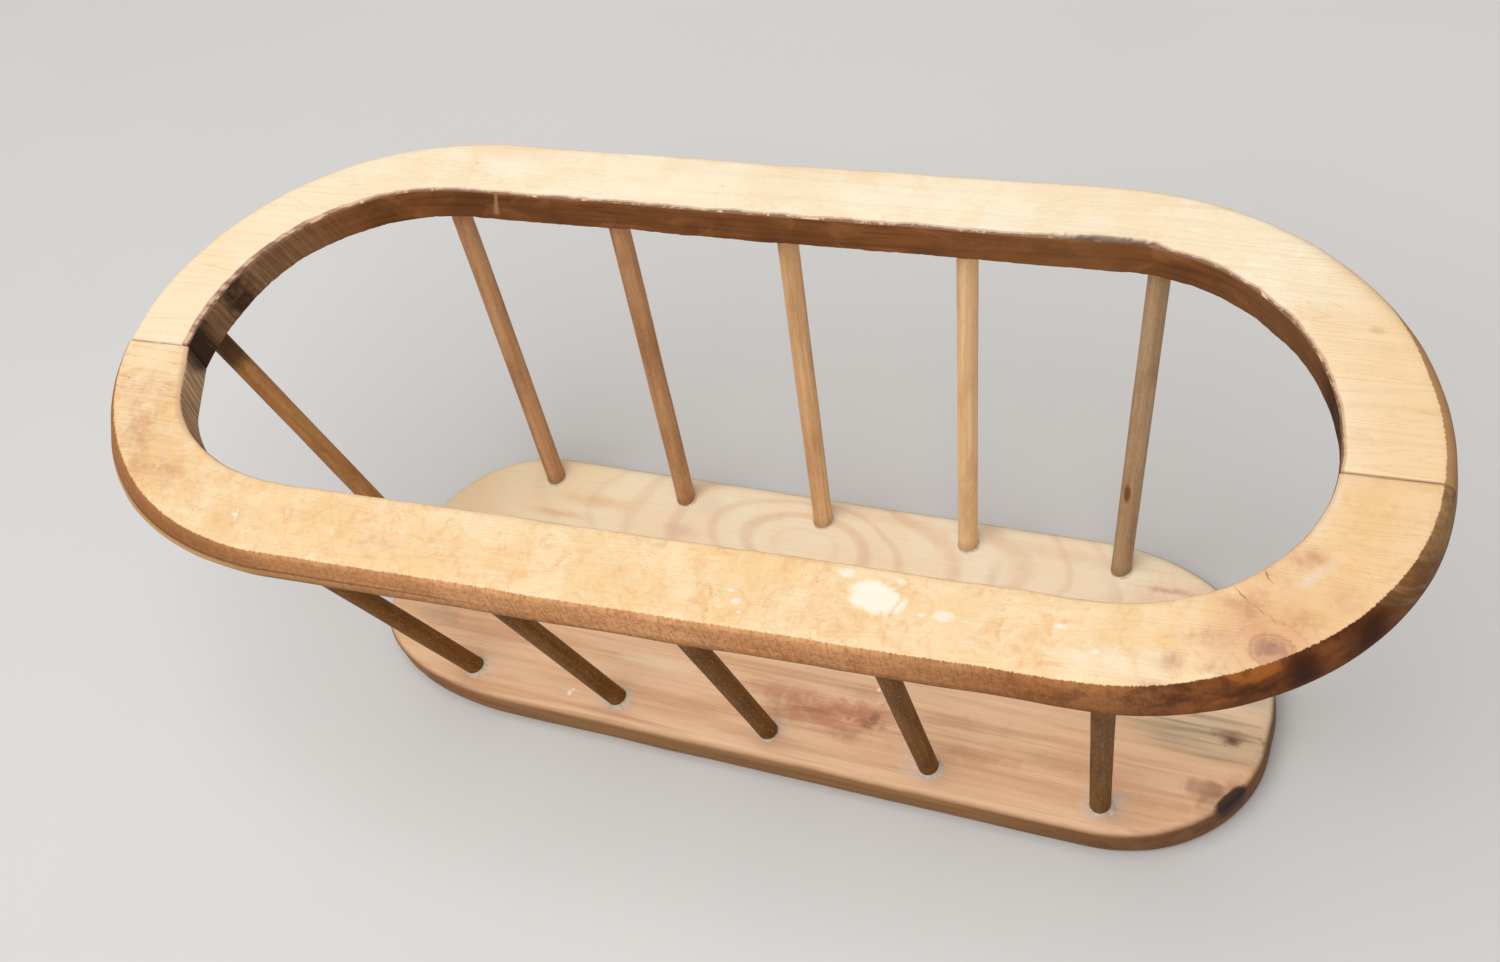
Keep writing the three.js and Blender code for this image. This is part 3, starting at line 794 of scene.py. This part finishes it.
def base_material(feet):
    g = Graph("base_wood_oiled")
    p = g.object_mm()
    x, y, z = g.xyz(p)
    up = g.xyz(g.node("ShaderNodeNewGeometry").outputs["Normal"])[2]
    slow = g.noise(p, 0.03, 3.0, 0.5)
    small = g.noise(p, 0.12, 4.0, 0.6, 0.8)
    tiny = g.noise(p, 0.6, 3.0, 0.6)
    cloud = g.noise(p, 0.024, 4.0, 0.55, 0.5)
    fibre = g.noise(g.vec("MULTIPLY", p, (0.06, 1.3, 1.3)), 1.0, 4.0, 0.7)
    streak = g.noise(g.vec("MULTIPLY", p, (0.011, 0.15, 0.15)), 1.0, 4.0, 0.6, 0.5)
    hair = g.noise(g.vec("MULTIPLY", p, (0.014, 0.6, 0.6)), 1.0, 4.0, 0.62, 0.4)
    front = g.step(g.plus(y, g.muladd(slow, 16.0, -8.0)), 16.0, -24.0)

    # pale, creamy back; the front is warmer and streaked
    col = Coat(g, g.step(cloud, 0.35, 0.65), (255, 238, 208), (255, 230, 194))
    warm = Coat(g, g.step(streak, 0.34, 0.66), (246, 200, 158), (230, 176, 132))
    warm.tint(g.step(hair, 0.46, 0.68), 0.38, (190, 128, 90))
    warm.tint(g.step(hair, 0.46, 0.3), 0.25, (244, 204, 164))
    col.tint(front, 0.92, warm.out)

    # flat-sawn figure: soft nested rings round a heart near the back edge
    near = g.vec("MULTIPLY", g.vec("SUBTRACT", p, (-13.0, 36.0, 0)), (1 / 32.0, 1 / 15.0, 0))
    sway = g.noise(p, 0.018, 1.0, 0.4)
    d = g.plus(g.vec("LENGTH", near), g.muladd(sway, 1.3, -0.65))
    d = g.plus(d, g.muladd(small, 0.10, -0.05))
    figure = g.step(g.absolute(g.plus(d, -1.0)), 0.16, 0.02)
    for at, w, k in (
            (1.42, 0.10, 0.75), (2.02, 0.18, 0.9), (2.75, 0.16, 0.7), (3.3, 0.10, 0.6),
            (0.55, 0.10, 0.3), (3.9, 0.14, 0.5)):
        figure = g.larger(figure, g.times(g.step(g.absolute(g.plus(d, -at)), w, w * 0.1), k))
    figure = g.times(figure, g.muladd(front, -0.85, 1.0))
    col.tint(figure, g.muladd(small, 0.5, 0.18), (230, 180, 136))
    col.tint(g.step(x, -70.0, -130.0), g.muladd(front, -0.5, 0.5), (255, 228, 180))
    col.tint(g.step(x, -150.0, -174.0), 0.5, (240, 198, 150))
    for bx, by, rx, ry, k, tone in (
            (-112, 38, 24, 5, 0.45, (238, 178, 118)), (-128, 29, 24, 3, 0.5, (232, 168, 112)),
            (-70, 31, 13, 6, 0.5, (226, 180, 154)), (-60, 44, 10, 9, 0.25, (220, 192, 180)),
            (146, 32, 50, 26, 0.65, (238, 192, 160)), (136, 44, 14, 2.2, 0.6, (196, 138, 118)),
            (96, 52, 60, 5, 0.35, (236, 192, 152)), (24, 54, 40, 4, 0.35, (236, 194, 156)),
            (66, 36, 4, 12, 0.4, (232, 190, 150))):
        col.tint(g.blob(p, bx, by, rx, ry, 0.95, 1.2, small), k, tone)

    # reddish knotty places, brown shadows and one bleached streak along the front
    for bx, by, rx, ry, k, tone in (
            (16, -37, 32, 9, 0.75, (196, 116, 80)), (-3, -31, 22, 5, 0.5, (200, 126, 88)),
            (36, -33, 18, 7, 0.6, (184, 106, 76)), (30, -24, 16, 4, 0.35, (176, 118, 88)),
            (81, -41, 26, 4.5, 0.55, (200, 132, 84)), (70, -28, 40, 4, 0.3, (186, 136, 100)),
            (110, -36, 30, 4, 0.35, (190, 142, 104)), (-30, -44, 26, 4, 0.3, (200, 138, 98)),
            (-110, -28, 30, 5, 0.3, (206, 146, 108)), (167, -34, 12, 6, 0.6, (150, 96, 70)),
            (150, -44, 24, 3.5, 0.4, (196, 138, 92)), (-160, -30, 16, 7, 0.5, (176, 146, 124))):
        col.tint(g.blob(p, bx, by, rx, ry, 0.95, 1.5, small), k, tone)
    col.tint(g.blob(p, -56, -30.5, 26, 4.2, 0.8, 0.7, small), 0.8, (252, 222, 182))
    col.tint(g.blob(p, 60, -20, 40, 5, 0.9, 0.9, small), 0.3, (240, 204, 166))
    swirl = g.noise(g.vec("MULTIPLY", p, (0.035, 0.16, 0.16)), 1.0, 4.0, 0.6, 0.8)
    knurl = g.times(g.blob(p, 18, -36, 42, 14, 0.8, 1.0, small), g.step(swirl, 0.48, 0.62))
    col.tint(knurl, 0.5, (158, 92, 66))
    ticks = g.flecks(g.vec("MULTIPLY", p, (0.5, 1.0, 1.0)), 0.28, 0.10, 0.25)
    col.tint(g.times(ticks, g.blob(p, 22, -36, 34, 14, 0.4)), 0.6, (120, 66, 48))
    col.tint(g.blob(p, 38, -34.5, 3.0, 5.0, 0.9, 1.8, small), 0.6, (128, 76, 60))

    # grey-green weathering with dark streaks at the right end, and a knot in it
    grey = g.blob(p, 162, -13, 38, 12, 0.7, 0.7, slow)
    col.tint(grey, 0.62, (208, 188, 154))
    col.tint(g.times(grey, g.step(streak, 0.42, 0.66)), 0.45, (156, 138, 108))
    col.tint(g.times(grey, g.step(hair, 0.46, 0.66)), 0.45, (120, 104, 78))
    col.tint(g.blob(p, 170, -11.5, 9, 4.5, 0.9, 1.5, small), 0.75, (118, 80, 62))
    col.tint(g.blob(p, 171.5, -13, 3.4, 2.2, 0.8, 1.2, small), 0.7, (92, 50, 40))
    for bx, by, r in ((-89, -51.5, 1.5), (-88, -49.6, 0.8), (36, -22, 1.0)):
        col.tint(g.blob(p, bx, by, r * 0.8, r, 0.5, 0.7, small), 0.9, (252, 246, 234))

    # thinned glue has bleached the wood round the feet; these are the front row's strengths
    front_row = dict(enumerate((0.55, 0.6, 0.45, 0.75, 0.9), start=5))
    for k, (fx, fy) in enumerate(feet):
        strength = front_row.get(k, 0.3)
        haze = g.blob(p, fx + (1.5 if k % 2 else -2.5), fy - 1.5, 12.0, 8.5, 0.95, 1.3, small)
        tone = (226, 214, 204) if fy < 0 else (244, 230, 216)
        col.tint(g.times(haze, g.step(tiny, 0.2, 0.6)), strength, tone)
    col.tint(g.step(fibre, 0.50, 0.76), 0.16, (176, 120, 84))

    # the edge: browner, darker below, with a spill of resin on the front right corner
    side = g.step(g.plus(up, g.muladd(small, 0.16, -0.08)), 0.90, 0.35)
    rim = Coat(g, g.step(streak, 0.35, 0.7), (158, 114, 68), (124, 80, 42))
    rim.tint(g.step(hair, 0.45, 0.66), 0.4, (130, 84, 48))
    # painted shade: the lower part of the edge is darkened towards the floor
    rim.tint(g.step(z, 8.5, 2.0), 0.5, (120, 76, 46))
    right = g.step(x, 70.0, 168.0)
    rim.tint(right, 0.72, (98, 54, 14))
    rim.tint(g.times(right, g.step(small, 0.46, 0.62)), 0.6, (76, 38, 20))
    rim.tint(g.step(x, -120.0, -172.0), 0.35, (136, 84, 52))
    col.tint(side, 0.92, rim.out)
    bark = g.blob(p, 175.4, -35.4, 9.0, 2.7, 0.4, 0.5, small, -56)
    bark = g.times(bark, g.times(g.step(up, 0.997, 0.95), g.step(z, 6.0, 8.5)))
    col.tint(g.blob(p, 172, -35, 14, 7, 0.95, 1.1, small, -56), 0.35, (128, 74, 48))
    col.tint(bark, 0.95, (52, 26, 22))
    height = g.plus(g.times(fibre, 0.35), g.times(hair, 0.2))
    height = g.plus(height, g.times(bark, -0.6))
    rough = g.muladd(cloud, 0.14, 0.42)
    rough = g.plus(rough, g.times(bark, -0.2))
    rough = g.plus(rough, g.times(side, 0.2))
    return g.finish(col.out, rough, height, 0.3, 0.0006, specular=g.muladd(side, -0.28, 0.45))


def dowel_material(name, seed, light, mid, dark, knot=None, sooty=None):
    """The object's own Z runs along the dowel."""
    g = Graph(name)
    p = g.object_mm()
    z = g.xyz(p)[2]
    shift = g.vec("ADD", p, (seed * 31.0, seed * 17.0, seed * 43.0))
    streak = g.noise(g.vec("MULTIPLY", shift, (0.5, 0.5, 0.014)), 1.0, 4.0, 0.6, 0.4)
    fibre = g.noise(g.vec("MULTIPLY", shift, (2.2, 2.2, 0.07)), 1.0, 3.0, 0.7)
    cloud = g.noise(g.vec("MULTIPLY", shift, (0.12, 0.12, 0.035)), 1.0, 4.0, 0.6)
    fleck = g.noise(g.vec("MULTIPLY", shift, (1.9, 1.9, 0.42)), 1.0, 3.0, 0.6)
    pores = g.noise(g.vec("MULTIPLY", shift, (3.0, 3.0, 0.35)), 1.0, 2.0, 0.5)
    col = Coat(g, g.step(streak, 0.34, 0.66), light, mid)
    col.tint(g.step(cloud, 0.44, 0.72), 0.6, dark)
    col.tint(g.step(fibre, 0.50, 0.76), 0.42, dark)
    col.tint(g.step(fleck, 0.54, 0.72), 0.35, dark)
    col.tint(g.step(fleck, 0.44, 0.28), 0.30, (232, 196, 150))
    col.tint(g.step(pores, 0.66, 0.78), 0.5, (70, 44, 26))
    # darker towards the foot, where the dowel stands on the base
    col.tint(g.step(z, SOCKET + 6.0, SOCKET), 0.3, (104, 72, 46))
    if knot:
        kz, angle, kr = knot
        kx, ky = DOWEL_R * math.cos(angle), DOWEL_R * math.sin(angle)
        q = g.vec("MULTIPLY", g.vec("SUBTRACT", p, (kx, ky, kz)), (1 / kr, 1 / kr, 1 / (kr * 3.4)))
        m = g.step(g.plus(g.vec("LENGTH", q), g.times(cloud, 0.4)), 1.3, 0.7)
        col.tint(m, 0.85, (112, 62, 26))
    if sooty:
        soot = g.step(g.plus(z, g.muladd(fleck, 8.0, -4.0)), sooty, sooty + 9.0)
        col.tint(soot, 0.8, (48, 30, 20))
    height = g.plus(g.times(fibre, 0.5), g.times(streak, 0.3))
    rough = g.muladd(cloud, 0.15, 0.54)
    return g.finish(col.out, rough, height, 0.3, 0.0004, specular=0.16)


def glue_material():
    g = Graph("dried_glue")
    p = g.object_mm()
    lump = g.noise(p, 0.5, 4.0, 0.6, 0.5)
    dirt = g.noise(p, 0.9, 3.0, 0.6)
    col = Coat(g, g.step(lump, 0.35, 0.7), (226, 212, 194), (206, 182, 156))
    col.tint(g.step(dirt, 0.5, 0.75), 0.5, (170, 136, 108))
    return g.finish(col.out, g.muladd(lump, 0.2, 0.28), lump, 0.4, 0.0006)


def floor_material():
    g = Graph("pale_floor")
    p = g.object_mm()
    soft = g.noise(p, 0.004, 3.0, 0.5)
    fine = g.noise(p, 0.35, 3.0, 0.6)
    col = Coat(g, soft, (226, 226, 225), (218, 218, 218))
    return g.finish(col.out, g.muladd(soft, 0.1, 0.75), fine, 0.08, 0.0003, specular=0.2)


# -------------------------------------------------- build
rim_looks = {
    "rim_front_half": rim_material("rim_wood_front", 1.0, True),
    "rim_back_half": rim_material("rim_wood_back", 2.0, False),
}
for node, half in HALVES.items():
    piece = build_half(node, half)
    piece.data.materials.append(rim_looks[node])
    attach(piece, "root")
    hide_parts(node)

golden = ((236, 192, 144), (220, 172, 122), (184, 134, 88))
honey = ((250, 212, 164), (238, 194, 144), (208, 158, 110))
tan = ((204, 156, 112), (184, 134, 90), (150, 102, 64))
# the front row's brown is partly dirt and partly painted shade from the front rail over them
brown = ((132, 84, 26), (110, 68, 16), (78, 44, 8))
amber = ((196, 142, 88), (176, 118, 66), (134, 84, 44))
grey = ((192, 160, 124), (172, 138, 102), (142, 106, 74))
tones_of = {
    "dowel_back_1": tan, "dowel_back_2": tan, "dowel_back_3": golden, "dowel_back_4": honey,
    "dowel_back_5": grey, "dowel_left_end": amber, "dowel_right_end": amber,
}
glue = glue_material()
names = sorted(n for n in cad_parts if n.startswith("dowel_"))
feet = []
for k, node in enumerate(names):
    piece, foot, head, axis = build_dowel(node, 1.7 * k + 0.4)
    tones = tones_of.get(node, brown)
    knot = (53.0, math.radians(-104), 1.6) if node == "dowel_back_5" else None
    length = float(np.linalg.norm(head - foot)) / MM
    sooty = length - SOCKET - 24.0 if node == "dowel_left_end" else None
    piece.data.materials.append(dowel_material(node + "_wood", k + 1.0, *tones, knot=knot, sooty=sooty))
    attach(piece, "root")
    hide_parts(node)
    reach, height = MUCH_GLUE if node in GLUED_THICKLY else LITTLE_GLUE
    collar = build_collar("glue_" + node[6:], foot, axis, 3.1 * k + 1, reach, height)
    collar.data.materials.append(glue)
    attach(collar, "root")
    feet.append((foot[0] / MM, foot[1] / MM))

base = build_base()
base.data.materials.append(base_material(feet))
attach(base, "root")
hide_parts("base_board")

# -------------------------------------------------- floor, light, camera
FLOOR_SIZE = 40
FLOOR_Z = -0.0003
GLOW = 0.37
KEY_POWER = 26.6
FILL_POWER = 3
LENS = 46.431
CAMERA_PLACE = (0.252171, -0.318763, 0.686907)

bpy.ops.mesh.primitive_plane_add(size=FLOOR_SIZE, location=(0, 0, FLOOR_Z))
floor = bpy.context.object
floor.name = "floor"
floor.data.materials.append(floor_material())

world = bpy.data.worlds.new("studio")
world.use_nodes = True
world.node_tree.nodes["Background"].inputs[0].default_value = (1.0, 0.98, 0.96, 1)
world.node_tree.nodes["Background"].inputs[1].default_value = GLOW
scene.world = world


def area_light(name, place, target, size, power, color):
    data = bpy.data.lights.new(name, "AREA")
    data.shape = "DISK"
    data.size = size
    data.energy = power
    data.color = color
    obj = bpy.data.objects.new(name, data)
    scene.collection.objects.link(obj)
    obj.location = place
    obj.rotation_euler = (Vector(target) - Vector(place)).to_track_quat("-Z", "Y").to_euler()


area_light("key", (-0.15, -0.45, 1.8), (0, 0, 0.1), 2.0, KEY_POWER, (1.0, 0.985, 0.96))
area_light("fill", (0.5, -1.7, 0.9), (0, 0, 0.1), 1.6, FILL_POWER, (1.0, 0.99, 0.98))

camera_data = bpy.data.cameras.new("camera")
camera = bpy.data.objects.new("camera", camera_data)
scene.collection.objects.link(camera)
scene.camera = camera
camera_data.sensor_width = 36.0
camera_data.lens = LENS
right = Vector((0.918246, 0.323762, -0.228041))
down = Vector((0.157894, -0.827414, -0.538939))
ahead = Vector((-0.363173, 0.458872, -0.810889))
turn = Matrix((right, -down, -ahead)).transposed()
camera.matrix_world = Matrix.Translation(CAMERA_PLACE) @ turn.to_4x4()
camera_data.clip_start = 0.02

scene.view_settings.view_transform = "Standard"
scene.view_settings.look = "None"
